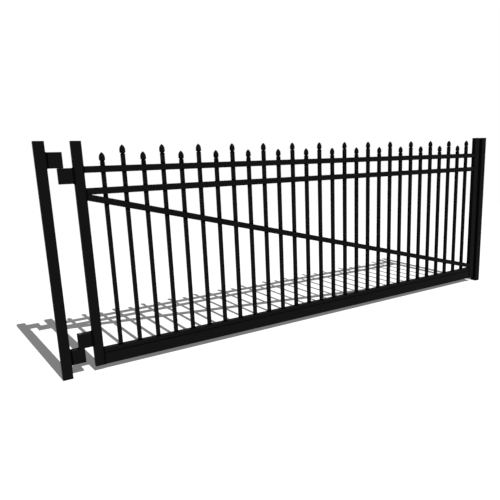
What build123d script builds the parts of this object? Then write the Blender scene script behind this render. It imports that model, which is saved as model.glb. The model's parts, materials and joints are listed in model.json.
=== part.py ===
from build123d import *

import os

# A wide single-leaf swing gate of welded square tube between two free-standing posts.
# All sizes are in millimetres. The origin is the middle of the hinge post's foot at ground
# level. +X runs along the closed leaf towards the latch post, +Y points to the back, +Z is up.

# Picket field
picket_count = 28
picket_side = 25.0
picket_wall = 1.5
picket_corner = 2.0
picket_gap = 100.0
end_gap = 98.0
tall_rise = 63.0
short_rise = 19.0

# Rails, brace and bottom tube
frame_depth = 40.0
rail_height = 40.0
lower_rail_height = 30.0
rail_wall = 2.0
rail_corner = 4.0
second_rail_drop = 131.0
bottom_tube_height = 80.0
bottom_tube_wall = 2.5
bottom_tube_corner = 5.0
brace_height = 40.0
brace_wall = 2.0
brace_head_bite = 6.5
brace_foot_gap = 1.0
punch_clearance = 0.3

# Uprights and posts
upright_width = 60.0
upright_wall = 2.5
post_side = 60.0
post_wall = 3.0
tube_corner = 4.0
least_inner_corner = 0.6
frame_rise = 1264.0
upright_top_rise = 148.0
ground_clearance = 40.0
foot_plate = 5.0
cap_plate = 3.0
cap_plug = 14.0
cap_edge = 0.8
plug_clearance = 0.25
hinge_gap = 138.0
latch_gap = 30.0

# Hinges
block_height = 93.0
block_nose = 17.0
block_edge = 1.5
top_hinge_drop = 8.0
bottom_hinge_rise = 138.0
pin_diameter = 16.0
pin_running_clearance = 0.05
pin_end_chamfer = 1.0
bearing_gap = 0.3

# Cast finial on each picket
finial_height = 62.0
finial_collar_overhang = 1.0
finial_collar_height = 5.0
finial_neck_radius = 11.5
finial_neck_height = 5.0
finial_bulb_radius = 18.0
finial_bulb_height = 19.0
finial_side_bow = 0.9
finial_tip_radius = 1.2
finial_spigot = 15.0
finial_spigot_clearance = 0.2

# The middle of a quarter circle lies this share of its radius out from the corner of its square
arc_middle = 2 ** 0.5 / 2

# Heights
leaf_bottom = ground_clearance
lower_rail_bottom = leaf_bottom + bottom_tube_height
lower_rail_top = lower_rail_bottom + lower_rail_height
rail_top = leaf_bottom + frame_rise
second_rail_top = rail_top - second_rail_drop
column_top = rail_top + upright_top_rise
top_hinge_level = rail_top - top_hinge_drop
bottom_hinge_level = leaf_bottom + bottom_hinge_rise

# Stations along the gate
pin_x = post_side / 2 + hinge_gap / 2
hinge_upright_x = post_side / 2 + hinge_gap + upright_width / 2
leaf_inner_left = hinge_upright_x + upright_width / 2
picket_pitch = picket_side + picket_gap
first_picket_x = leaf_inner_left + end_gap + picket_side / 2
last_picket_x = first_picket_x + (picket_count - 1) * picket_pitch
leaf_inner_right = last_picket_x + picket_side / 2 + end_gap
latch_upright_x = leaf_inner_right + upright_width / 2
latch_post_x = latch_upright_x + upright_width / 2 + latch_gap + post_side / 2
picket_xs = [first_picket_x + i * picket_pitch for i in range(picket_count)]


def inner_corner(corner, wall):
    """Corner radius inside a tube with that outer corner radius."""
    return max(corner - wall, least_inner_corner)


def tube_section(width, height, wall, corner):
    """Hollow rectangular section with rounded outer and inner corners, centred on the origin."""
    outer = RectangleRounded(width, height, corner)
    inner = RectangleRounded(width - 2 * wall, height - 2 * wall, inner_corner(corner, wall))
    return outer - inner


def standing_tube(x, width, depth, wall, corner, z_low, z_high):
    """Vertical tube whose section is width along X by depth along Y."""
    section = tube_section(width, depth, wall, corner)
    return Pos(x, 0, z_low) * extrude(section, z_high - z_low)


def lying_tube(x_low, x_high, z_middle, height, depth, wall, corner):
    """Horizontal tube along X whose section is depth along Y by height along Z."""
    section = Plane.YZ * tube_section(depth, height, wall, corner)
    return Pos(x_low, 0, z_middle) * extrude(section, x_high - x_low)


def punch_tools(z_low, z_high):
    """Square prisms that punch the picket holes, one at each picket, from z_low to z_high."""
    side = picket_side + 2 * punch_clearance
    hole = RectangleRounded(side, side, picket_corner)
    punch = extrude(hole, z_high - z_low)
    return [Pos(x, 0, z_low) * punch for x in picket_xs]


def punched_rail(z_top, height):
    """Picket rail with its top face at z_top, punched through both walls at each picket."""
    rail = lying_tube(leaf_inner_left, leaf_inner_right, z_top - height / 2,
                      height, frame_depth, rail_wall, rail_corner)
    return rail - punch_tools(z_top - height - 1, z_top + 1)


def diagonal_brace():
    """Sloping tube from the corner under the second rail to the corner above the lower rail.

    Both ends are cut plumb at the uprights, and the upper one is also cut level under the rail.
    """
    span = leaf_inner_right - leaf_inner_left
    rail_underside = second_rail_top - rail_height
    head = rail_underside + brace_head_bite
    foot = lower_rail_top + brace_foot_gap
    # The plumb height of the sloping tube depends on its slope, so the slope is found in steps.
    plumb = brace_height
    for _ in range(8):
        slope = (head - foot - plumb) / span
        plumb = brace_height * (1 + slope * slope) ** 0.5
    middle = Vector((leaf_inner_left + leaf_inner_right) / 2, 0, (head + foot) / 2)
    direction = Vector(1, 0, -slope)
    section_plane = Plane(origin=middle, x_dir=(0, 1, 0), z_dir=direction)
    section = section_plane * tube_section(frame_depth, brace_height, brace_wall, rail_corner)
    tube = extrude(section, span, both=True)
    bay = Pos(middle.X, 0, rail_underside) * Box(span, 2 * frame_depth, rail_underside - lower_rail_top,
                                                 align=(Align.CENTER, Align.CENTER, Align.MAX))
    return (tube & bay) - punch_tools(lower_rail_top, rail_underside)


def picket(x, rise):
    """Square picket tube standing on the bottom tube and ending rise above the top rail."""
    return standing_tube(x, picket_side, picket_side, picket_wall, picket_corner,
                         lower_rail_bottom, rail_top + rise)


def finial(x, seat):
    """Cast finial: a spigot in the picket, a square collar, a neck and a bulb drawn up to a point."""
    spigot_side = picket_side - 2 * picket_wall - 2 * finial_spigot_clearance
    spigot = Box(spigot_side, spigot_side, finial_spigot, align=(Align.CENTER, Align.CENTER, Align.MAX))
    collar_side = picket_side + 2 * finial_collar_overhang
    collar = Box(collar_side, collar_side, finial_collar_height,
                 align=(Align.CENTER, Align.CENTER, Align.MIN))
    collar = chamfer(collar.edges().group_by(Axis.Z)[-1], finial_collar_overhang)
    neck_top = finial_collar_height + finial_neck_height
    swell_radius = finial_neck_radius + arc_middle * (finial_bulb_radius - finial_neck_radius)
    swell_height = finial_bulb_height - arc_middle * (finial_bulb_height - neck_top)
    side_radius = finial_side_bow * finial_bulb_radius
    side_height = (finial_bulb_height + finial_height) / 2
    outline = [
        Line((0, 0), (finial_neck_radius, 0)),
        Line((finial_neck_radius, 0), (finial_neck_radius, neck_top)),
        ThreePointArc((finial_neck_radius, neck_top), (swell_radius, swell_height),
                      (finial_bulb_radius, finial_bulb_height)),
        ThreePointArc((finial_bulb_radius, finial_bulb_height), (side_radius, side_height),
                      (finial_tip_radius, finial_height)),
        Line((finial_tip_radius, finial_height), (0, finial_height)),
        Line((0, finial_height), (0, 0)),
    ]
    spear = revolve(Plane.XZ * make_face(Curve() + outline), Axis.Z)
    return Pos(x, 0, seat) * (spigot + collar + spear)


def plug_cap(x, width, depth, wall, corner):
    """Flat end cap: a flush plate on the tube's end with a plug that reaches inside it."""
    plate = extrude(RectangleRounded(width, depth, corner), cap_plate)
    plate = chamfer(plate.edges().group_by(Axis.Z)[-1], cap_edge)
    plug_width = width - 2 * wall - 2 * plug_clearance
    plug_depth = depth - 2 * wall - 2 * plug_clearance
    plug = extrude(RectangleRounded(plug_width, plug_depth, inner_corner(corner, wall)), -cap_plug)
    return Pos(x, 0, column_top - cap_plate) * (plate + plug)


def post(x):
    """Square post standing on its foot plate."""
    return standing_tube(x, post_side, post_side, post_wall, tube_corner, foot_plate, column_top - cap_plate)


def post_foot_plate(x):
    """Flush plate that closes the post's foot at ground level."""
    return Pos(x, 0, 0) * extrude(RectangleRounded(post_side, post_side, tube_corner), foot_plate)


def upright(x):
    """Vertical end member of the leaf."""
    return standing_tube(x, upright_width, frame_depth, upright_wall, tube_corner,
                         leaf_bottom, column_top - cap_plate)


def hinge_block(x_root, x_nose, z_low):
    """Square hinge block from the member that carries it to its nose past the pin, bored for the pin."""
    length = abs(x_nose - x_root)
    block = Pos((x_root + x_nose) / 2, 0, z_low + block_height / 2) * Box(length, frame_depth, block_height)
    nose_edges = block.faces().sort_by(lambda face: abs(face.center().X - x_nose))[0].edges()
    block = chamfer(nose_edges, block_edge)
    bore = Pos(pin_x, 0, z_low + block_height / 2) * Cylinder(pin_diameter / 2 + pin_running_clearance,
                                                              block_height + 2)
    return block - bore


def hinge_pin(level):
    """Pin through both blocks of one hinge, flush with their outer faces."""
    pin = Cylinder(pin_diameter / 2, 2 * block_height)
    pin = chamfer(pin.edges(), pin_end_chamfer)
    return Pos(pin_x, 0, level) * pin


def build_parts():
    """All pieces of the gate by node name."""
    parts = {}
    for name, x in (("hinge_post", 0.0), ("latch_post", latch_post_x)):
        parts[name] = post(x)
        parts[name + "_foot_plate"] = post_foot_plate(x)
        parts[name + "_cap"] = plug_cap(x, post_side, post_side, post_wall, tube_corner)

    for name, x in (("hinge_upright", hinge_upright_x), ("latch_upright", latch_upright_x)):
        parts[name] = upright(x)
        parts[name + "_cap"] = plug_cap(x, upright_width, frame_depth, upright_wall, tube_corner)

    parts["top_rail"] = punched_rail(rail_top, rail_height)
    parts["second_rail"] = punched_rail(second_rail_top, rail_height)
    parts["lower_rail"] = punched_rail(lower_rail_top, lower_rail_height)
    parts["bottom_tube"] = lying_tube(leaf_inner_left, leaf_inner_right,
                                      leaf_bottom + bottom_tube_height / 2, bottom_tube_height,
                                      frame_depth, bottom_tube_wall, bottom_tube_corner)
    parts["diagonal_brace"] = diagonal_brace()

    for i, x in enumerate(picket_xs):
        rise = tall_rise if i % 2 else short_rise
        parts[f"picket_{i + 1:02d}"] = picket(x, rise)
    parts["short_finials"] = Compound(children=[finial(x, rail_top + short_rise) for x in picket_xs[0::2]])
    parts["tall_finials"] = Compound(children=[finial(x, rail_top + tall_rise) for x in picket_xs[1::2]])

    post_face = post_side / 2
    upright_face = hinge_upright_x - upright_width / 2
    post_nose = pin_x + block_nose
    leaf_nose = pin_x - block_nose
    half_bearing = bearing_gap / 2
    parts["top_hinge_post_block"] = hinge_block(post_face, post_nose, top_hinge_level + half_bearing)
    parts["top_hinge_leaf_block"] = hinge_block(upright_face, leaf_nose,
                                                top_hinge_level - half_bearing - block_height)
    parts["bottom_hinge_leaf_block"] = hinge_block(upright_face, leaf_nose, bottom_hinge_level + half_bearing)
    parts["bottom_hinge_post_block"] = hinge_block(post_face, post_nose,
                                                   bottom_hinge_level - half_bearing - block_height)
    parts["top_hinge_pin"] = hinge_pin(top_hinge_level)
    parts["bottom_hinge_pin"] = hinge_pin(bottom_hinge_level)
    return parts


os.makedirs("parts", exist_ok=True)
for node, shape in build_parts().items():
    export_step(shape, f"parts/{node}.step")
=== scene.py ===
"""Looks of a wide single-leaf swing gate: powder coat, welds, cast finials, studio and camera.

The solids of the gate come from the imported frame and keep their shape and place. This script
gives each of them its finish, adds the weld beads that join them, puts smooth castings in place
of the plain finials, and sets up a pale studio with the camera at the photograph's viewing angle.
All lengths are in metres, in the frame's own axes: +X along the leaf, +Y to the back, +Z up.
"""

import json
import logging
import math
from dataclasses import dataclass
from enum import Enum
from functools import cached_property

import bmesh
import bpy
import numpy as np
from mathutils import Matrix, Vector

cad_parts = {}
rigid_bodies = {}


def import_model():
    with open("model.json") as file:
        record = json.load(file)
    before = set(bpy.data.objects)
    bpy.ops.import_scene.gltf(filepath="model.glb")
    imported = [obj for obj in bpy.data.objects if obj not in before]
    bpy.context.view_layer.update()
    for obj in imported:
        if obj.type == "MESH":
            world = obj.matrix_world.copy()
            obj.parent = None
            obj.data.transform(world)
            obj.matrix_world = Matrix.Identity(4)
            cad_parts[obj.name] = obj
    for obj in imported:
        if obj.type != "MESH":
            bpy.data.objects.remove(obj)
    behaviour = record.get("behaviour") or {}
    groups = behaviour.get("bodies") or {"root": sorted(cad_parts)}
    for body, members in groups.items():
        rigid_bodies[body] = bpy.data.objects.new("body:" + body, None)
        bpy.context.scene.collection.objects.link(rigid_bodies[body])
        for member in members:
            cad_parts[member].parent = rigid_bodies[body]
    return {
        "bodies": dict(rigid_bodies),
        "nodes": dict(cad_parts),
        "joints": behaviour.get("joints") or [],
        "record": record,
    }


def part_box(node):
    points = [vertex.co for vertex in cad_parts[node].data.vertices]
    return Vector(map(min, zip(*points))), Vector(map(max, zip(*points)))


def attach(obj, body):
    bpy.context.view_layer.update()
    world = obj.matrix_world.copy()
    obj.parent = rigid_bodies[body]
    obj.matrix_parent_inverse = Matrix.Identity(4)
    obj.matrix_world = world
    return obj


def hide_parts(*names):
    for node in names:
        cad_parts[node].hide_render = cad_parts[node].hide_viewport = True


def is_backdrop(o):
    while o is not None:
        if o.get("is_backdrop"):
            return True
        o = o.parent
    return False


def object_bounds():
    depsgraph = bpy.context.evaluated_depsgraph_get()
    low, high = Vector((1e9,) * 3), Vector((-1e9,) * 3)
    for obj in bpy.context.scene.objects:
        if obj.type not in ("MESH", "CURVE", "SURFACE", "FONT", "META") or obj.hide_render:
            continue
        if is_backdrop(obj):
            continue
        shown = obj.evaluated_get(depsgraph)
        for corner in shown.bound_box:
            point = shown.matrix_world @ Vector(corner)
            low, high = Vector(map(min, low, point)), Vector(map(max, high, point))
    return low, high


log = logging.getLogger("gate")

Socket = bpy.types.NodeSocket
Feed = float | tuple[float, ...] | Socket
Color = tuple[float, float, float]

MM = 0.001
ALONG_LEAF = np.array([1.0, 0.0, 0.0])
WHITE = (1.0, 1.0, 1.0, 1.0)


class Slot(Enum):
    """The finishes that the gate's pieces are given."""

    COATED_TUBE = "coated_tube"
    CAP_PLATE = "cap_plate"
    HINGE_BLOCK = "hinge_block"
    CAST_FINIAL = "cast_finial"
    PIN_STEEL = "pin_steel"


class Body(Enum):
    """The two rigid bodies of the gate."""

    POSTS = "posts"
    LEAF = "leaf"


class End(Enum):
    """The two ends of a member along X."""

    HINGE_SIDE = "hinge_side"
    LATCH_SIDE = "latch_side"

    def beyond(self, low: np.ndarray, high: np.ndarray, distance: float) -> float:
        """X at a distance beyond this end of a box."""
        return low[0] - distance if self is End.HINGE_SIDE else high[0] + distance


class SocketKind(Enum):
    """The kinds of input of a node group."""

    VECTOR = "NodeSocketVector"
    FLOAT = "NodeSocketFloat"


# Shader node groups


class NodeGraph:
    """Adds and links nodes in one node tree."""

    # Places of the colour sockets on a Mix node, where several sockets share a name
    MIX_FACTOR, MIX_FIRST, MIX_SECOND, MIX_RESULT = 0, 6, 7, 2

    def __init__(self, tree: bpy.types.NodeTree) -> None:
        """Keeps the tree that nodes are added to.

        Args:
            tree: the node tree of a material, a light, a world or a group.
        """
        self.tree = tree

    def add(self, kind: str, inputs: dict[str | int, Feed] | None = None,
            **settings: object) -> bpy.types.Node:
        """Adds one node.

        Args:
            kind: the node's type name.
            inputs: socket name or number to a plain value or to the output socket it is fed by.
            settings: properties of the node itself.

        Returns:
            The new node.
        """
        node = self.tree.nodes.new(kind)
        for name, value in settings.items():
            setattr(node, name, value)
        for name, value in (inputs or {}).items():
            if isinstance(value, Socket):
                self.tree.links.new(value, node.inputs[name])
            else:
                node.inputs[name].default_value = value
        return node

    def math(self, operation: str, *values: Feed, clamp: bool = False) -> Socket:
        """Adds a Math node and returns its output socket."""
        inputs = dict(enumerate(values))
        return self.add("ShaderNodeMath", inputs, operation=operation, use_clamp=clamp).outputs[0]

    def blend(self, factor: Feed, first: Feed, second: Feed) -> Socket:
        """Mixes two colours by a factor and returns the output socket."""
        inputs = {self.MIX_FACTOR: factor, self.MIX_FIRST: first, self.MIX_SECOND: second}
        return self.add("ShaderNodeMix", inputs, data_type="RGBA").outputs[self.MIX_RESULT]

    def use(self, group: bpy.types.NodeTree, inputs: dict[str | int, Feed]) -> Socket:
        """Places a node group and returns its output socket."""
        return self.add("ShaderNodeGroup", inputs, node_tree=group).outputs[0]

    def ramp(self, value: Socket, low: float, high: float) -> Socket:
        """Maps a value between low and high smoothly to 0 to 1 and returns the output socket."""
        inputs = {"Value": value, "From Min": low, "From Max": high}
        return self.add("ShaderNodeMapRange", inputs, interpolation_type="SMOOTHSTEP").outputs[0]

    def noise(self, vector: Socket, scale: Feed, detail: float) -> Socket:
        """Adds a noise texture and returns its value socket."""
        inputs = {"Vector": vector, "Scale": scale, "Detail": detail}
        return self.add("ShaderNodeTexNoise", inputs).outputs[0]

    def bump(self, height: Socket, strength: float, depth: float) -> Socket:
        """Adds a Bump node and returns its normal socket."""
        inputs = {"Height": height, "Strength": strength, "Distance": depth}
        return self.add("ShaderNodeBump", inputs).outputs[0]

    def looked_at(self) -> Socket:
        """Tells what is looked at from what lights the scene.

        Returns:
            A socket that is 1 for camera, gloss and transmission rays, and 0 for the others.
        """
        path = self.add("ShaderNodeLightPath")
        seen = self.math("MAXIMUM", path.outputs["Is Camera Ray"], path.outputs["Is Glossy Ray"])
        return self.math("MAXIMUM", seen, path.outputs["Is Transmission Ray"])


@dataclass(frozen=True)
class NoiseMask:
    """Soft-edged patches, cut from noise between two of its levels.

    Attributes:
        scale: patches per metre, roughly.
        detail: how many finer layers the noise has.
        low: the level at which a patch begins.
        high: the level at which a patch is full.
    """

    scale: float
    detail: float
    low: float
    high: float

    def add_to(self, graph: NodeGraph, vector: Socket, scale: Socket | None = None) -> Socket:
        """Adds the mask to a graph.

        Args:
            graph: where it is added.
            vector: the place on the surface.
            scale: a socket that gives the scale in place of the mask's own.

        Returns:
            The socket of the mask, from 0 to 1.
        """
        noise = graph.noise(vector, self.scale if scale is None else scale, self.detail)
        return graph.ramp(noise, self.low, self.high)


@dataclass(frozen=True)
class GroupInput:
    """One named input of a shader node group."""

    name: str
    kind: SocketKind = SocketKind.FLOAT
    default: float | None = None


class EffectGroup(NodeGraph):
    """The inside of a shader node group with named inputs and one number as its output."""

    def __init__(self, name: str, output: str, inputs: list[GroupInput]) -> None:
        """Makes an empty group.

        Args:
            name: the group's name.
            output: the name of its output.
            inputs: its inputs.
        """
        super().__init__(bpy.data.node_groups.new(name, "ShaderNodeTree"))
        sockets = self.tree.interface
        for row in inputs:
            made = sockets.new_socket(row.name, in_out="INPUT", socket_type=row.kind.value)
            if row.default is not None:
                made.default_value = row.default
        sockets.new_socket(output, in_out="OUTPUT", socket_type=SocketKind.FLOAT.value)
        self.entry = self.add("NodeGroupInput")

    def given(self, name: str) -> Socket:
        """The socket inside the group that carries one of its inputs."""
        return self.entry.outputs[name]

    def ending_in(self, value: Socket) -> bpy.types.NodeTree:
        """Makes a value the group's output and returns the group."""
        self.add("NodeGroupOutput", {0: value})
        return self.tree


@dataclass
class SurfaceEffects:
    """The node groups that several finishes share, each built once, when it is first used.

    Attributes:
        peel: orange peel of a sprayed coat.
        grain_scale: grains per metre, roughly.
        grain_detail: how many finer layers the grain has.
        grain_share: share of the grain in the relief.
        edge_width: width of the band along an edge where the coat is thin.
        edge_turn: one less the cosine of the normal's turn, where wear begins and is full.
        edge_samples: samples of the bevelled normal.
        thin_coat: patches in which an edge is worn.
        crevice_shade_reach: how far the painted shade in grooves looks for near walls.
        crevice_shade_closed: closed share of near space, where the painted shade begins and is full.
        crevice_shade_samples: samples of the near space for the painted shade.
        upward: Z of the normal, where dust begins to settle and lies full.
        dust_drift: drifts of settled dust.
        splash_height: how high splashes reach above the ground.
        splash_speckle: speckles of splash.
    """

    peel: NoiseMask = NoiseMask(scale=420.0, detail=1.0, low=0.35, high=0.7)
    grain_scale: float = 2600.0
    grain_detail: float = 2.0
    grain_share: float = 0.2
    edge_width: float = 1.2 * MM
    edge_turn: tuple[float, float] = (0.015, 0.2)
    edge_samples: int = 4
    thin_coat: NoiseMask = NoiseMask(scale=60.0, detail=4.0, low=0.42, high=0.68)
    crevice_shade_reach: float = 12.0 * MM
    crevice_shade_closed: tuple[float, float] = (0.01, 0.06)
    crevice_shade_samples: int = 16
    upward: tuple[float, float] = (0.55, 1.0)
    dust_drift: NoiseMask = NoiseMask(scale=7.0, detail=3.0, low=0.3, high=0.7)
    splash_height: float = 220.0 * MM
    splash_speckle: NoiseMask = NoiseMask(scale=95.0, detail=5.0, low=0.45, high=0.75)

    @cached_property
    def relief(self) -> bpy.types.NodeTree:
        """The relief of a sprayed coat: flat-bottomed orange peel with fine grain in it.

        Returns:
            A group that turns a vector into a height.
        """
        group = EffectGroup("coat_relief", "Height", [
            GroupInput("Vector", SocketKind.VECTOR),
            GroupInput("Peel Scale", default=self.peel.scale),
            GroupInput("Grain", default=self.grain_share),
        ])
        place = group.given("Vector")
        peel = self.peel.add_to(group, place, group.given("Peel Scale"))
        grain = group.noise(place, self.grain_scale, self.grain_detail)
        return group.ending_in(group.math("MULTIPLY_ADD", grain, group.given("Grain"), peel))

    @cached_property
    def wear(self) -> bpy.types.NodeTree:
        """The mask of thin coat along edges.

        The mask is how far the bevelled normal leaves the true one, broken up by noise.

        Returns:
            A group that turns a vector and a width into a mask from 0 to 1.
        """
        group = EffectGroup("edge_wear", "Mask", [
            GroupInput("Vector", SocketKind.VECTOR),
            GroupInput("Width", default=self.edge_width),
            GroupInput("Breakup Scale", default=self.thin_coat.scale),
        ])
        soft = group.add("ShaderNodeBevel", {"Radius": group.given("Width")}, samples=self.edge_samples)
        true = group.add("ShaderNodeNewGeometry")
        facing = group.add("ShaderNodeVectorMath", {0: soft.outputs[0], 1: true.outputs["Normal"]},
                           operation="DOT_PRODUCT").outputs["Value"]
        edge = group.ramp(group.math("SUBTRACT", 1.0, facing), *self.edge_turn)
        patches = self.thin_coat.add_to(group, group.given("Vector"), group.given("Breakup Scale"))
        return group.ending_in(group.math("MULTIPLY", edge, patches, clamp=True))

    @cached_property
    def crevice_shade(self) -> bpy.types.NodeTree:
        """The mask of painted shade in grooves and inner corners, where near walls close in.

        The mask is the share of near space that is closed, beyond what an open face has.

        Returns:
            A group that turns a reach into a mask from 0 to 1.
        """
        group = EffectGroup("painted_crevice_shade", "Mask", [GroupInput("Reach", default=self.crevice_shade_reach)])
        # Painted shade: the closed share of near space marks where shade is painted into grooves
        near = group.add("ShaderNodeAmbientOcclusion", {"Distance": group.given("Reach")},
                         samples=self.crevice_shade_samples)
        closed = group.math("SUBTRACT", 1.0, near.outputs["AO"])
        return group.ending_in(group.ramp(closed, *self.crevice_shade_closed))

    @cached_property
    def dust(self) -> bpy.types.NodeTree:
        """The mask of settled dust: on faces that look up, and as splash near the ground.

        Returns:
            A group that turns a vector and a splash height into a mask from 0 to 1.
        """
        group = EffectGroup("settled_dust", "Mask", [
            GroupInput("Vector", SocketKind.VECTOR),
            GroupInput("Splash Height", default=self.splash_height),
        ])
        place = group.given("Vector")
        normal = group.add("ShaderNodeNewGeometry").outputs["Normal"]
        up = group.add("ShaderNodeSeparateXYZ", {0: normal}).outputs["Z"]
        drift = self.dust_drift.add_to(group, place)
        settled = group.math("MULTIPLY", group.ramp(up, *self.upward), drift)
        height = group.add("ShaderNodeSeparateXYZ", {0: place}).outputs["Z"]
        share = group.math("DIVIDE", height, group.given("Splash Height"))
        low_down = group.math("SUBTRACT", 1.0, share, clamp=True)
        splash = group.math("MULTIPLY", low_down, self.splash_speckle.add_to(group, place))
        return group.ending_in(group.math("ADD", settled, splash, clamp=True))


# Finishes


def empty_material(name: str) -> tuple[bpy.types.Material, NodeGraph]:
    """Makes a material without nodes.

    Args:
        name: the material's name.

    Returns:
        The material and a graph helper for its nodes.
    """
    made = bpy.data.materials.new(name)
    made.use_nodes = True
    made.node_tree.nodes.clear()
    return made, NodeGraph(made.node_tree)


@dataclass(frozen=True)
class CoatFinish:
    """Satin powder coat on steel.

    Attributes:
        name: the material's name.
        color: the coat's own colour, linear.
        worn_color: the colour where the coat is thin along edges.
        painted_crevice_shade_color: the painted shade in grooves and inner corners.
        dust_color: the colour of settled dust.
        roughness: the roughness of clean coat.
        crevice_roughness: how much rougher the coat is in grooves and inner corners.
        specular: the specular level of the coat.
        peel_scale: orange-peel cells per metre, roughly.
        grain: the share of fine grain in the relief.
        relief: the bump strength.
        relief_depth: the depth of the relief.
        patch_scale: patches of slightly other gloss per metre, roughly.
        patch_detail: how many finer layers the patches have.
        patchiness: how far the roughness differs between patches.
        wear: how strongly the edges show.
        dust: how strongly the dust shows.
    """

    name: str
    color: Color = (0.0053, 0.0053, 0.0055)
    worn_color: Color = (0.022, 0.022, 0.023)
    # Painted shade: near-black colour painted into grooves and inner corners
    painted_crevice_shade_color: Color = (0.0003, 0.0003, 0.0003)
    dust_color: Color = (0.075, 0.07, 0.062)
    roughness: float = 0.46
    crevice_roughness: float = 0.3
    specular: float = 0.012
    peel_scale: float = 420.0
    grain: float = 0.2
    relief: float = 0.1
    relief_depth: float = 0.4 * MM
    patch_scale: float = 14.0
    patch_detail: float = 3.0
    patchiness: float = 0.1
    wear: float = 0.5
    dust: float = 0.015

    def material(self, effects: SurfaceEffects) -> bpy.types.Material:
        """Builds the material.

        Args:
            effects: the shared node groups.

        Returns:
            The finished material.
        """
        made, graph = empty_material(self.name)
        place = graph.add("ShaderNodeTexCoord").outputs["Object"]
        own_relief = {"Vector": place, "Peel Scale": self.peel_scale, "Grain": self.grain}
        height = graph.use(effects.relief, own_relief)
        crevice_shade_mask = graph.use(effects.crevice_shade, {})
        worn = graph.math("MULTIPLY", graph.use(effects.wear, {"Vector": place}), self.wear, clamp=True)
        dusty = graph.math("MULTIPLY", graph.use(effects.dust, {"Vector": place}), self.dust, clamp=True)
        # Painted shade: the coat's colour is darkened to near black in grooves and inner corners
        tone = graph.blend(crevice_shade_mask, (*self.color, 1.0), (*self.painted_crevice_shade_color, 1.0))
        tone = graph.blend(worn, tone, (*self.worn_color, 1.0))
        tone = graph.blend(dusty, tone, (*self.dust_color, 1.0))
        patches = graph.noise(place, self.patch_scale, self.patch_detail)
        lowest = self.roughness - self.patchiness / 2
        rough = graph.math("MULTIPLY_ADD", patches, self.patchiness, lowest)
        rough = graph.math("ADD", rough, dusty)
        rough = graph.math("MULTIPLY_ADD", crevice_shade_mask, self.crevice_roughness, rough, clamp=True)
        shader = graph.add("ShaderNodeBsdfPrincipled", {
            "Base Color": tone, "Roughness": rough, "Specular IOR Level": self.specular,
            "Normal": graph.bump(height, self.relief, self.relief_depth)})
        graph.add("ShaderNodeOutputMaterial", {"Surface": shader.outputs[0]})
        return made


@dataclass(frozen=True)
class SteelFinish:
    """Bare turned steel under a film of grease.

    Attributes:
        name: the material's name.
        color: the metal's colour, linear.
        grease_color: the colour under the thicker smears of grease.
        roughness: the roughness of the metal.
        smear: smears of grease.
        smear_roughness: how much rougher a smear is.
        mark_scale: marks of the turning per metre, roughly.
        relief: the bump strength.
        relief_depth: the depth of the relief.
    """

    name: str
    color: Color = (0.2, 0.2, 0.21)
    grease_color: Color = (0.07, 0.066, 0.063)
    roughness: float = 0.34
    smear: NoiseMask = NoiseMask(scale=160.0, detail=3.0, low=0.35, high=0.7)
    smear_roughness: float = 0.2
    mark_scale: float = 900.0
    relief: float = 0.15
    relief_depth: float = 0.2 * MM

    def material(self, effects: SurfaceEffects) -> bpy.types.Material:
        """Builds the material.

        Args:
            effects: the shared node groups.

        Returns:
            The finished material.
        """
        made, graph = empty_material(self.name)
        place = graph.add("ShaderNodeTexCoord").outputs["Object"]
        height = graph.use(effects.relief, {"Vector": place, "Peel Scale": self.mark_scale})
        smear = self.smear.add_to(graph, place)
        tone = graph.blend(smear, (*self.color, 1.0), (*self.grease_color, 1.0))
        rough = graph.math("MULTIPLY_ADD", smear, self.smear_roughness, self.roughness, clamp=True)
        shader = graph.add("ShaderNodeBsdfPrincipled", {
            "Base Color": tone, "Roughness": rough, "Metallic": 1.0,
            "Normal": graph.bump(height, self.relief, self.relief_depth)})
        graph.add("ShaderNodeOutputMaterial", {"Surface": shader.outputs[0]})
        return made


def gate_finishes() -> dict[Slot, CoatFinish | SteelFinish]:
    """Names the finish of every slot.

    Returns:
        The finish by slot.
    """
    return {
        Slot.COATED_TUBE: CoatFinish("satin_black_coat_on_tube"),
        Slot.CAP_PLATE: CoatFinish("satin_black_coat_on_plate", roughness=0.4, peel_scale=520.0,
                                   dust=0.03),
        Slot.HINGE_BLOCK: CoatFinish("satin_black_coat_on_bar", roughness=0.48, peel_scale=360.0,
                                     wear=0.7),
        Slot.CAST_FINIAL: CoatFinish("satin_black_coat_on_casting", roughness=0.5, peel_scale=260.0,
                                     grain=0.35, relief=0.22, wear=0.6),
        Slot.PIN_STEEL: SteelFinish("greased_turned_steel"),
    }


# Meshes


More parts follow.
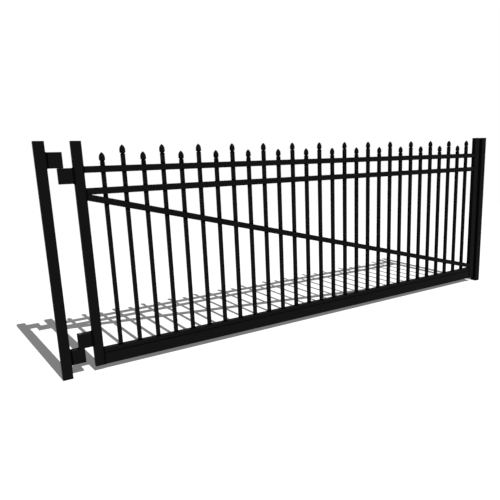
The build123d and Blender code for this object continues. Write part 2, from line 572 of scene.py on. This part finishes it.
class MeshBuffer:
    """Collects grids of points and turns them into one mesh."""

    def __init__(self) -> None:
        """Starts an empty buffer."""
        self.points: list[np.ndarray] = []
        self.faces: list[np.ndarray] = []
        self.count = 0

    def add_grid(self, grid: np.ndarray, ring: bool = True) -> None:
        """Adds a grid of points as quads, with its last column joined to the first.

        Args:
            grid: points by row and column, shape (rows, columns, 3).
            ring: whether the last row joins the first too.
        """
        rows, columns = grid.shape[:2]
        row = np.arange(rows if ring else rows - 1)[:, None]
        column = np.arange(columns)[None, :]
        next_row, next_column = (row + 1) % rows, (column + 1) % columns
        corners = (row * columns + column, row * columns + next_column,
                   next_row * columns + next_column, next_row * columns + column)
        quads = np.stack([np.broadcast_to(c, (row.size, column.size)) for c in corners], axis=-1)
        self.points.append(grid.reshape(-1, 3))
        self.faces.append(quads.reshape(-1, 4) + self.count)
        self.count += rows * columns

    def add_copies(self, grid: np.ndarray, offsets: np.ndarray, ring: bool = True) -> None:
        """Adds the same grid once at each offset."""
        for offset in offsets:
            self.add_grid(grid + offset, ring)

    def build(self, name: str, weld_distance: float = 1e-6) -> bpy.types.Object:
        """Makes the mesh object.

        Args:
            name: the object's name.
            weld_distance: points nearer than this are merged, which closes the poles.

        Returns:
            The object, at the origin, with smooth faces that point outwards.
        """
        points = np.concatenate(self.points).astype(np.float32)
        faces = np.concatenate(self.faces)
        mesh = bpy.data.meshes.new(name)
        mesh.from_pydata(points, [], faces)
        work = bmesh.new()
        work.from_mesh(mesh)
        bmesh.ops.remove_doubles(work, verts=work.verts, dist=weld_distance)
        bmesh.ops.recalc_face_normals(work, faces=work.faces)
        work.to_mesh(mesh)
        work.free()
        mesh.polygons.foreach_set("use_smooth", np.ones(len(mesh.polygons), bool))
        made = bpy.data.objects.new(name, mesh)
        bpy.context.scene.collection.objects.link(made)
        return made


def rounded_loop(width: float, height: float, corner: float, count: int,
                 arc_points: int = 7) -> np.ndarray:
    """Points evenly spaced along a rectangle whose corners are quarter circles.

    The outline is four quarter circles joined by straight sides; its length is divided evenly.

    Args:
        width: size along the first axis.
        height: size along the second axis.
        corner: radius of the quarter circles.
        count: number of points.
        arc_points: points that stand for each quarter circle before the length is divided.

    Returns:
        The points, shape (count, 2).
    """
    quarter = np.linspace(0.0, math.pi / 2, arc_points)
    signs = np.array([[1, 1], [-1, 1], [-1, -1], [1, -1]])
    angles = quarter[None, :] + np.arange(len(signs))[:, None] * math.pi / 2
    centres = signs * np.array([width / 2 - corner, height / 2 - corner])
    arcs = centres[:, None, :] + corner * np.stack([np.cos(angles), np.sin(angles)], axis=-1)
    outline = np.concatenate([arcs.reshape(-1, 2), arcs.reshape(-1, 2)[:1]])
    run = np.concatenate([[0.0], np.cumsum(np.linalg.norm(np.diff(outline, axis=0), axis=1))])
    even = np.linspace(0.0, run[-1], count, endpoint=False)
    return np.stack([np.interp(even, run, outline[:, axis]) for axis in (0, 1)], axis=1)


@dataclass(frozen=True)
class Bead:
    """One kind of weld bead.

    Attributes:
        radius: the bead's radius.
        ripple_pitch: distance between two ripples along the bead.
        ripple_depth: depth of a ripple as a share of the radius.
        ripple_lag: how far a ripple bends back, as a share of the pitch.
        sides: points round the bead.
    """

    radius: float
    ripple_pitch: float = 2.4 * MM
    ripple_depth: float = 0.09
    ripple_lag: float = 0.35
    sides: int = 8

    def along_loop(self, path: np.ndarray, normal: np.ndarray) -> np.ndarray:
        """Carries the bead along a closed flat loop.

        Each point of the path carries a circle across the path. Its radius rises and falls as a
        sine of the distance along the path, and the sine is held back by the lag times the cosine
        of twice the angle round the bead, which bends the ripples into a weld pool's crescents.

        Args:
            path: points of the closed loop, shape (count, 3).
            normal: unit normal of the loop's plane.

        Returns:
            The grid of surface points, shape (count, sides, 3).
        """
        ahead = np.roll(path, -1, axis=0) - np.roll(path, 1, axis=0)
        tangent = ahead / np.linalg.norm(ahead, axis=1, keepdims=True)
        outward = np.cross(tangent, normal)
        steps = np.linalg.norm(np.diff(np.vstack([path, path[:1]]), axis=0), axis=1)
        run = np.concatenate([[0.0], np.cumsum(steps)[:-1]])
        total = steps.sum()
        waves = max(round(total / self.ripple_pitch), 1)
        angle = np.linspace(0.0, 2 * math.pi, self.sides, endpoint=False)
        lag = self.ripple_lag * np.cos(2 * angle)
        phase = 2 * math.pi * waves * run[:, None] / total + lag[None, :] * 2 * math.pi
        radius = self.radius * (1 + self.ripple_depth * np.sin(phase))
        across = (np.cos(angle)[None, :, None] * outward[:, None, :]
                  + np.sin(angle)[None, :, None] * normal[None, None, :])
        return path[:, None, :] + radius[:, :, None] * across

    def round_box(self, x: float, low: np.ndarray, high: np.ndarray, off: tuple[float, float],
                  corner: float, points: int) -> np.ndarray:
        """Carries the bead round a box, in the plane across the leaf at x.

        Args:
            x: the place of the plane.
            low: lowest corner of the box.
            high: highest corner of the box.
            off: how far the path stands off the box along Y and along Z, or inside it if negative.
            corner: corner radius of the path.
            points: points along the path.

        Returns:
            The grid of surface points, shape (points, sides, 3).
        """
        width, height = high[1:] - low[1:] + 2 * np.array(off)
        outline = rounded_loop(width, height, corner, points) + (low[1:] + high[1:]) / 2
        return self.along_loop(np.column_stack([np.full(points, x), outline]), ALONG_LEAF)


def box_of(node: str) -> tuple[np.ndarray, np.ndarray]:
    """The lowest and highest corner of a node of the frame, as arrays."""
    low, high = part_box(node)
    return np.array(low), np.array(high)


@dataclass(frozen=True)
class PicketField:
    """Where the pickets stand.

    Attributes:
        lows: lowest corner of each picket, shape (count, 3).
        highs: highest corner of each picket, shape (count, 3).
    """

    lows: np.ndarray
    highs: np.ndarray

    @classmethod
    def of_frame(cls, nodes: dict) -> "PicketField":
        """Reads the pickets' boxes, from the hinge side to the latch side."""
        boxes = [box_of(name) for name in sorted(nodes) if name.startswith("picket_")]
        return cls(np.array([low for low, _ in boxes]), np.array([high for _, high in boxes]))

    @property
    def stations(self) -> np.ndarray:
        """The middles of the pickets along the leaf."""
        return (self.lows[:, 0] + self.highs[:, 0]) / 2

    @property
    def side(self) -> float:
        """The side of a picket's square section."""
        return float(self.highs[0, 0] - self.lows[0, 0])

    def at_height(self, height: np.ndarray | float) -> np.ndarray:
        """The middles of all pickets at a height, or at a height of each one's own."""
        along = self.stations
        return np.column_stack([along, np.zeros_like(along), np.broadcast_to(height, along.shape)])

    def tops(self, first: int) -> np.ndarray:
        """The middles of the upper ends of every other picket, starting at the given one."""
        return self.at_height(self.highs[:, 2])[first::2]


@dataclass(frozen=True)
class BraceLine:
    """Where the diagonal brace runs, worked out from its box.

    Attributes:
        low: lowest corner of the brace's box.
        high: highest corner of the brace's box.
        section: height of the brace's section across its length.
        head_bite: how far the top line meets the hinge upright above the brace's own level cut.
    """

    low: np.ndarray
    high: np.ndarray
    section: float = 40.0 * MM
    head_bite: float = 6.5 * MM

    @property
    def fall(self) -> float:
        """How far the brace falls for each metre along X.

        The uncut brace is as high as its fall over the span plus the plumb height of its section,
        and the plumb height is the section times the root of one plus the fall squared. The fall
        is the smaller root of the quadratic that follows.

        Returns:
            The fall.
        """
        span = self.high[0] - self.low[0]
        rise = self.high[2] + self.head_bite - self.low[2]
        root = math.sqrt(rise ** 2 + span ** 2 - self.section ** 2)
        return (rise * span - self.section * root) / (span ** 2 - self.section ** 2)

    @property
    def plumb(self) -> float:
        """The plumb height of the brace's section."""
        return self.section * math.hypot(1.0, self.fall)

    def top_at(self, x: np.ndarray | float) -> np.ndarray | float:
        """The height of the brace's top line at a place along X."""
        return self.high[2] + self.head_bite - self.fall * (x - self.low[0])


# Sub-assemblies


@dataclass
class FrameWelds:
    """Weld beads round the ends of the rails, the bottom tube and the brace.

    Attributes:
        bead: the bead that joins the members.
        set_back: how far the bead lies inside the upright's face.
        lift: how far the bead stands above and below a member.
        side_inset: how far the bead lies behind the member's front and back faces.
        corner: corner radius of the bead's path.
        points: points along one loop.
    """

    bead: Bead
    set_back: float = 0.4 * MM
    lift: float = 0.3 * MM
    side_inset: float = 0.64 * MM
    corner: float = 4.2 * MM
    points: int = 220

    def _add(self, buffer: MeshBuffer, end: End, low: np.ndarray, high: np.ndarray) -> None:
        """Adds the bead round one end of a member.

        Args:
            buffer: what the bead is added to.
            end: which end.
            low: lowest corner of the member there.
            high: highest corner of the member there.
        """
        x = end.beyond(low, high, self.set_back)
        off = (-self.side_inset, self.lift)
        buffer.add_grid(self.bead.round_box(x, low, high, off, self.corner, self.points))

    def rails(self) -> bpy.types.Object:
        """Builds the beads at both ends of the three rails and the bottom tube.

        Returns:
            The joined beads.
        """
        buffer = MeshBuffer()
        for node in ("top_rail", "second_rail", "lower_rail", "bottom_tube"):
            for end in End:
                self._add(buffer, end, *box_of(node))
        return buffer.build("rail_end_welds")

    def brace_ends(self, brace: BraceLine) -> bpy.types.Object:
        """Builds the beads at both ends of the brace.

        Args:
            brace: where the brace runs.

        Returns:
            The joined beads.
        """
        low, high = brace.low, brace.high
        head_low = np.array([low[0], low[1], brace.top_at(low[0]) - brace.plumb])
        foot_high = np.array([high[0], high[1], low[2] + brace.plumb])
        buffer = MeshBuffer()
        self._add(buffer, End.HINGE_SIDE, head_low, high)
        self._add(buffer, End.LATCH_SIDE, low, foot_high)
        return buffer.build("brace_end_welds")


@dataclass
class PicketWelds:
    """Small weld beads round the pickets where they pass through the rails and the brace.

    Attributes:
        bead: the bead round a picket.
        field: where the pickets stand.
        lift: height of the bead's middle above the face it lies on.
        corner: corner radius of the bead's path.
        points: points along one loop.
    """

    bead: Bead
    field: PicketField
    lift: float = 0.2 * MM
    corner: float = 2.6 * MM
    points: int = 44

    def _build(self, name: str, fall: float, levels: list[np.ndarray | float]) -> bpy.types.Object:
        """Builds a bead round every picket at each of several levels.

        Args:
            name: the piece's name.
            fall: fall of the face that the beads lie on, for each metre along X.
            levels: heights of the beads' middles, at all the pickets alike or at each of them.

        Returns:
            The joined beads.
        """
        outline = rounded_loop(self.field.side, self.field.side, self.corner, self.points)
        path = np.column_stack([outline, -fall * outline[:, 0]])
        normal = np.array([fall, 0.0, 1.0]) / math.hypot(1.0, fall)
        ring = self.bead.along_loop(path, normal)
        buffer = MeshBuffer()
        for level in levels:
            buffer.add_copies(ring, self.field.at_height(level))
        return buffer.build(name)

    def on_rail(self, node: str, both_sides: bool = True) -> bpy.types.Object:
        """Builds the beads on one rail.

        Args:
            node: the rail.
            both_sides: whether the underside is welded too.

        Returns:
            The joined beads.
        """
        low, high = box_of(node)
        levels = [high[2] + self.lift] + ([low[2] - self.lift] if both_sides else [])
        return self._build(f"picket_welds_on_{node}", 0.0, levels)

    def on_brace(self, brace: BraceLine) -> bpy.types.Object:
        """Builds the beads above and below the brace.

        Args:
            brace: where the brace runs.

        Returns:
            The joined beads.
        """
        top = brace.top_at(self.field.stations)
        levels = [top + self.lift, top - brace.plumb - self.lift]
        return self._build("picket_welds_on_brace", brace.fall, levels)


@dataclass
class HingeWelds:
    """Weld beads round the roots of the hinge blocks.

    Attributes:
        bead: the bead round a block.
        lift: how far the bead stands off the block's sides.
        leaf_inset: how far the bead lies inside a leaf block's front and back faces.
        set_back: how far the bead lies inside the member that carries the block.
        corner: corner radius of the bead's path.
        points: points along one loop.
    """

    bead: Bead
    lift: float = 0.6 * MM
    leaf_inset: float = 0.8 * MM
    set_back: float = 0.2 * MM
    corner: float = 2.5 * MM
    points: int = 300

    def _build(self, name: str, blocks: tuple[str, str], root: End, off: float) -> bpy.types.Object:
        """Builds the beads of two blocks.

        Args:
            name: the piece's name.
            blocks: the nodes.
            root: the end of the block that is welded.
            off: how far the bead stands off the block's front and back.

        Returns:
            The joined beads.
        """
        buffer = MeshBuffer()
        for node in blocks:
            low, high = box_of(node)
            x = root.beyond(low, high, self.set_back)
            buffer.add_grid(self.bead.round_box(x, low, high, (off, self.lift), self.corner, self.points))
        return buffer.build(name)

    def on_post(self) -> bpy.types.Object:
        """Builds the beads between the hinge post and its blocks."""
        blocks = ("top_hinge_post_block", "bottom_hinge_post_block")
        return self._build("hinge_post_block_welds", blocks, End.HINGE_SIDE, self.lift)

    def on_leaf(self) -> bpy.types.Object:
        """Builds the beads between the hinge upright and its blocks."""
        blocks = ("top_hinge_leaf_block", "bottom_hinge_leaf_block")
        return self._build("hinge_leaf_block_welds", blocks, End.LATCH_SIDE, -self.leaf_inset)


# Height, half-width and section power at one level of a casting
ProfileRow = tuple[float, float, float]

# The section power of a circle
ROUND = 2.0


@dataclass
class FinialCastings:
    """Smooth castings in place of the plain finials.

    The casting is one surface of height and angle. At each height it has a half-width, and the
    section is a superellipse: with a high power it is the collar's rounded square, and with
    power two it is the round of the neck, the bulb and the point.

    Attributes:
        field: where the pickets stand.
        height: height of the finial above the picket's end.
        collar_half: half the collar's side.
        collar_height: height of the collar.
        collar_power: section power of the collar.
        foot_edge: size of the broken edge at the collar's foot.
        shoulder: rows below the collar's top, measured from that top and the collar's half-width.
        neck_radius: radius of the neck.
        neck_height: height of the neck above the collar.
        neck: rows above the collar's top, measured from that top and the neck's radius.
        bulb_radius: radius at the widest point.
        bulb_height: height of the widest point.
        swell_rows: rows up to the widest point.
        side_power: how full the sides are above the widest point, 2 or more.
        side_rows: rows above the widest point.
        tip_radius: radius of the blunt tip.
        tip_depth: depth of the dome over the tip, as a share of the tip's radius.
        tip_dome: a row of that dome: its depth and half-width, as shares of the tip's radius.
        columns: points round the casting.
    """

    field: PicketField
    height: float = 62.0 * MM
    collar_half: float = 13.5 * MM
    collar_height: float = 5.0 * MM
    collar_power: float = 9.0
    foot_edge: float = 0.6 * MM
    shoulder: tuple[ProfileRow, ...] = (
        (-1.4 * MM, 0.0, 9.0), (-0.5 * MM, -0.4 * MM, 8.0), (0.0, -1.3 * MM, 6.0))
    neck_radius: float = 11.5 * MM
    neck_height: float = 5.0 * MM
    neck: tuple[ProfileRow, ...] = (
        (0.5 * MM, 0.9 * MM, 3.0), (1.6 * MM, 0.1 * MM, 2.2), (2.5 * MM, -0.2 * MM, ROUND),
        (4.0 * MM, 0.0, ROUND))
    bulb_radius: float = 18.0 * MM
    bulb_height: float = 19.0 * MM
    swell_rows: int = 8
    side_power: float = 3.3
    side_rows: int = 16
    tip_radius: float = 1.2 * MM
    tip_depth: float = 0.5
    tip_dome: tuple[float, float] = (0.15, 0.7)
    columns: int = 32

    def _collar(self) -> np.ndarray:
        """Rows of the collar and the neck.

        Returns:
            The rows, shape (rows, 3).
        """
        top, half, power = self.collar_height, self.collar_half, self.collar_power
        foot = [(0.0, 0.0, power), (0.0, half - self.foot_edge, power), (self.foot_edge, half, power)]
        shoulder = np.array(self.shoulder) + (top, half, 0.0)
        neck = np.array(self.neck) + (top, self.neck_radius, 0.0)
        return np.concatenate([foot, shoulder, neck])

    def _bulb(self) -> np.ndarray:
        """Rows of the bulb and the point.

        Below the widest point the side is a quarter ellipse. Above it the half-width falls from
        the bulb's radius to the tip's by the height's share raised to a power, and the blunt tip is
        closed by a flat dome.

        Returns:
            The rows, shape (rows, 3).
        """
        foot = self.collar_height + self.neck_height
        turn = np.linspace(0.0, math.pi / 2, self.swell_rows + 1)[1:]
        swell = np.column_stack([self.bulb_height - (self.bulb_height - foot) * np.cos(turn),
                                 self.neck_radius + (self.bulb_radius - self.neck_radius) * np.sin(turn)])
        share = np.linspace(0.0, 1.0, self.side_rows + 1)[1:]
        rise = self.height - self.tip_depth * self.tip_radius - self.bulb_height
        narrowing = (self.bulb_radius - self.tip_radius) * share ** self.side_power
        side = np.column_stack([self.bulb_height + rise * share, self.bulb_radius - narrowing])
        depth, half = np.array(self.tip_dome) * self.tip_radius
        rows = np.concatenate([swell, side, [(self.height - depth, half), (self.height, 0.0)]])
        return np.column_stack([rows, np.full(len(rows), ROUND)])

    def _surface(self) -> np.ndarray:
        """Turns the rows into one casting with its foot at the origin.

        The reach at an angle is the half-width over the root, of the section's power, of the sum
        of the cosine and the sine each raised to that power.

        Returns:
            The grid of surface points, shape (rows, columns, 3).
        """
        rows = np.concatenate([self._collar(), self._bulb()])
        z, half, power = (rows[:, column, None] for column in range(3))
        angle = np.linspace(0.0, 2 * math.pi, self.columns, endpoint=False)[None, :]
        cos, sin = np.cos(angle), np.sin(angle)
        reach = half / (np.abs(cos) ** power + np.abs(sin) ** power) ** (1 / power)
        return np.stack([reach * cos, reach * sin, np.broadcast_to(z, reach.shape)], axis=-1)

    def build(self, node: str, first: int) -> bpy.types.Object:
        """Builds every other casting.

        Args:
            node: the finial node that the castings stand for.
            first: 0 to start at the first picket, 1 to start at the second.

        Returns:
            The joined castings.
        """
        buffer = MeshBuffer()
        buffer.add_copies(self._surface(), self.field.tops(first), ring=False)
        return buffer.build(node.replace("finials", "finial_castings"))


# Studio


@dataclass(frozen=True)
class ViewPoint:
    """The camera of the photograph.

    Attributes:
        place: the lens's place.
        yaw: turn from +Y towards +X, in degrees.
        pitch: downward tilt, in degrees.
        roll: turn about the line of sight, in degrees.
        lens: focal length, in millimetres.
        sensor: width of the sensor, in millimetres.
        shift: sideways shift as a share of the picture's width.
        reach: how far the camera sees.
    """

    place: tuple[float, float, float] = (-0.2122, -3.0288, 1.3105)
    yaw: float = 30.576
    pitch: float = 11.106
    roll: float = -1.815
    lens: float = 33.408
    sensor: float = 36.0
    shift: float = -0.06
    reach: float = 200.0

    def set_up(self) -> None:
        """Makes the camera and gives it to the scene."""
        data = bpy.data.cameras.new("photo_view")
        data.lens = self.lens
        data.sensor_width = self.sensor
        data.sensor_fit = "HORIZONTAL"
        data.shift_x = self.shift
        data.clip_end = self.reach
        camera = bpy.data.objects.new("photo_view", data)
        turn = (Matrix.Rotation(math.radians(-self.yaw), 4, "Z")
                @ Matrix.Rotation(math.radians(90.0 - self.pitch), 4, "X")
                @ Matrix.Rotation(math.radians(self.roll), 4, "Z"))
        camera.matrix_world = Matrix.Translation(self.place) @ turn
        bpy.context.scene.collection.objects.link(camera)
        bpy.context.scene.camera = camera


@dataclass(frozen=True)
class Studio:
    """A white floor and sky with one high lamp in front, whose shadows spread a little.

    Attributes:
        middle: the gate's middle along X.
        shadow_run: how far a shadow at the middle runs along X and Y for each metre of height.
        lamp_height: height of the lamp above the floor.
        lamp_strength: irradiance from the lamp, the same at any distance.
        lamp_angle: apparent size of the lamp, in degrees, which softens the shadows.
        fill: brightness of the sky as it lights the scene.
        floor_size: side of the floor, beyond which the sky is as white.
        floor_bounce: reflectance of the floor as it lights the gate.
        floor_lift: the floor's own brightness in the picture, which keeps its shadows even.
    """

    middle: float
    shadow_run: tuple[float, float] = (-0.077, 0.874)
    lamp_height: float = 31.6
    lamp_strength: float = 3.8
    lamp_angle: float = 0.25
    fill: float = 0.105
    floor_size: float = 17.0
    floor_bounce: float = 0.7
    floor_lift: float = 0.12

    def set_up(self) -> None:
        """Makes the lamp, the sky and the floor."""
        self._lamp()
        self._sky()
        self._floor()

    def _lamp(self) -> None:
        """Hangs the lamp where its ray past the gate's middle falls along the shadow there."""
        foot = Vector((self.middle, 0.0, 0.0))
        place = foot - self.lamp_height * Vector((*self.shadow_run, -1.0))
        data = bpy.data.lights.new("lamp", "POINT")
        data.energy = 4 * math.pi * self.lamp_strength
        data.shadow_soft_size = (place - foot).length * math.tan(math.radians(self.lamp_angle / 2))
        data.use_nodes = True
        data.node_tree.nodes.clear()
        graph = NodeGraph(data.node_tree)
        even = graph.add("ShaderNodeLightFalloff", {"Strength": 1.0}).outputs["Constant"]
        glow = graph.add("ShaderNodeEmission", {"Strength": even})
        graph.add("ShaderNodeOutputLight", {"Surface": glow.outputs[0]})
        lamp = bpy.data.objects.new("lamp", data)
        lamp.location = place
        bpy.context.scene.collection.objects.link(lamp)

    def _sky(self) -> None:
        """Makes the sky white where it is looked at, and a soft fill as a light."""
        world = bpy.data.worlds.new("studio_sky")
        world.use_nodes = True
        world.node_tree.nodes.clear()
        graph = NodeGraph(world.node_tree)
        strength = graph.math("MULTIPLY_ADD", graph.looked_at(), 1.0 - self.fill, self.fill)
        back = graph.add("ShaderNodeBackground", {"Color": WHITE, "Strength": strength})
        graph.add("ShaderNodeOutputWorld", {"Surface": back.outputs[0]})
        bpy.context.scene.world = world

    def _floor(self) -> None:
        """Makes the floor, white where it is looked at outside the gate's shadow."""
        half = self.floor_size / 2
        left, right = self.middle - half, self.middle + half
        mesh = bpy.data.meshes.new("floor")
        mesh.from_pydata([(left, -half, 0), (right, -half, 0), (right, half, 0), (left, half, 0)], [],
                         [(0, 1, 2, 3)])
        floor = bpy.data.objects.new("floor", mesh)
        bpy.context.scene.collection.objects.link(floor)
        made, graph = empty_material("studio_floor")
        made.cycles.emission_sampling = "NONE"
        seen = graph.looked_at()
        tone = graph.math("MULTIPLY_ADD", seen, 1.0 - self.floor_bounce, self.floor_bounce)
        diffuse = graph.add("ShaderNodeBsdfDiffuse", {"Color": tone})
        glow = graph.math("MULTIPLY", seen, self.floor_lift)
        lift = graph.add("ShaderNodeEmission", {"Strength": glow})
        both = graph.add("ShaderNodeAddShader", {0: diffuse.outputs[0], 1: lift.outputs[0]})
        graph.add("ShaderNodeOutputMaterial", {"Surface": both.outputs[0]})
        mesh.materials.append(made)
        floor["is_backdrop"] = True


# Gate


class Gate:
    """The whole gate: finishes on the frame's nodes, and the pieces added to them."""

    def __init__(self, frame: dict) -> None:
        """Builds the finishes.
        """
        self.nodes = frame["nodes"]
        self.slots = {row["node"]: Slot(row["material_slot"]) for row in frame["record"]["subparts"]}
        effects = SurfaceEffects()
        self.materials = {slot: finish.material(effects) for slot, finish in gate_finishes().items()}

    def dress_nodes(self) -> None:
        """Gives every node of the frame its finish."""
        for name, node in self.nodes.items():
            material = self.materials[self.slots[name]]
            if not node.material_slots:
                node.data.materials.append(material)
            for slot in node.material_slots:
                slot.material = material
            log.info("dressed %s as %s", name, material.name)

    def add_piece(self, piece: bpy.types.Object, body: Body, slot: Slot, *replaced: str) -> None:
        """Dresses a new piece and ties it to its body.

        Args:
            piece: the new object.
            body: the body it moves with.
            slot: the finish it is given.
            replaced: nodes of the frame that it stands for.
        """
        piece.data.materials.append(self.materials[slot])
        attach(piece, body.value)
        if replaced:
            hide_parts(*replaced)
        log.info("%s: %d faces on %s", piece.name, len(piece.data.polygons), body.value)

    def add_pieces(self) -> None:
        """Adds the welds and the castings."""
        field = PicketField.of_frame(self.nodes)
        brace = BraceLine(*box_of("diagonal_brace"))
        frame_welds = FrameWelds(Bead(radius=2.3 * MM))
        picket_welds = PicketWelds(Bead(radius=1.6 * MM, ripple_pitch=3.4 * MM, sides=6), field)
        hinge_welds = HingeWelds(Bead(radius=3.0 * MM, ripple_pitch=3.0 * MM, sides=12))
        castings = FinialCastings(field)
        for piece in (frame_welds.rails(), frame_welds.brace_ends(brace),
                      picket_welds.on_rail("top_rail"), picket_welds.on_rail("second_rail"),
                      picket_welds.on_rail("lower_rail", both_sides=False),
                      picket_welds.on_brace(brace)):
            self.add_piece(piece, Body.LEAF, Slot.COATED_TUBE)
        self.add_piece(hinge_welds.on_post(), Body.POSTS, Slot.HINGE_BLOCK)
        self.add_piece(hinge_welds.on_leaf(), Body.LEAF, Slot.HINGE_BLOCK)
        for first, node in enumerate(("short_finials", "tall_finials")):
            self.add_piece(castings.build(node, first), Body.LEAF, Slot.CAST_FINIAL, node)


def main() -> None:
    """Builds the whole scene."""
    logging.basicConfig(level=logging.INFO, format="%(name)s: %(message)s")
    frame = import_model()
    cad_box = [list(corner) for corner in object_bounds()]
    ViewPoint().set_up()
    Studio(middle=(cad_box[0][0] + cad_box[1][0]) / 2).set_up()
    gate = Gate(frame)
    gate.dress_nodes()
    gate.add_pieces()
    bpy.context.scene.view_settings.view_transform = "Standard"


if __name__ == "__main__":
    main()
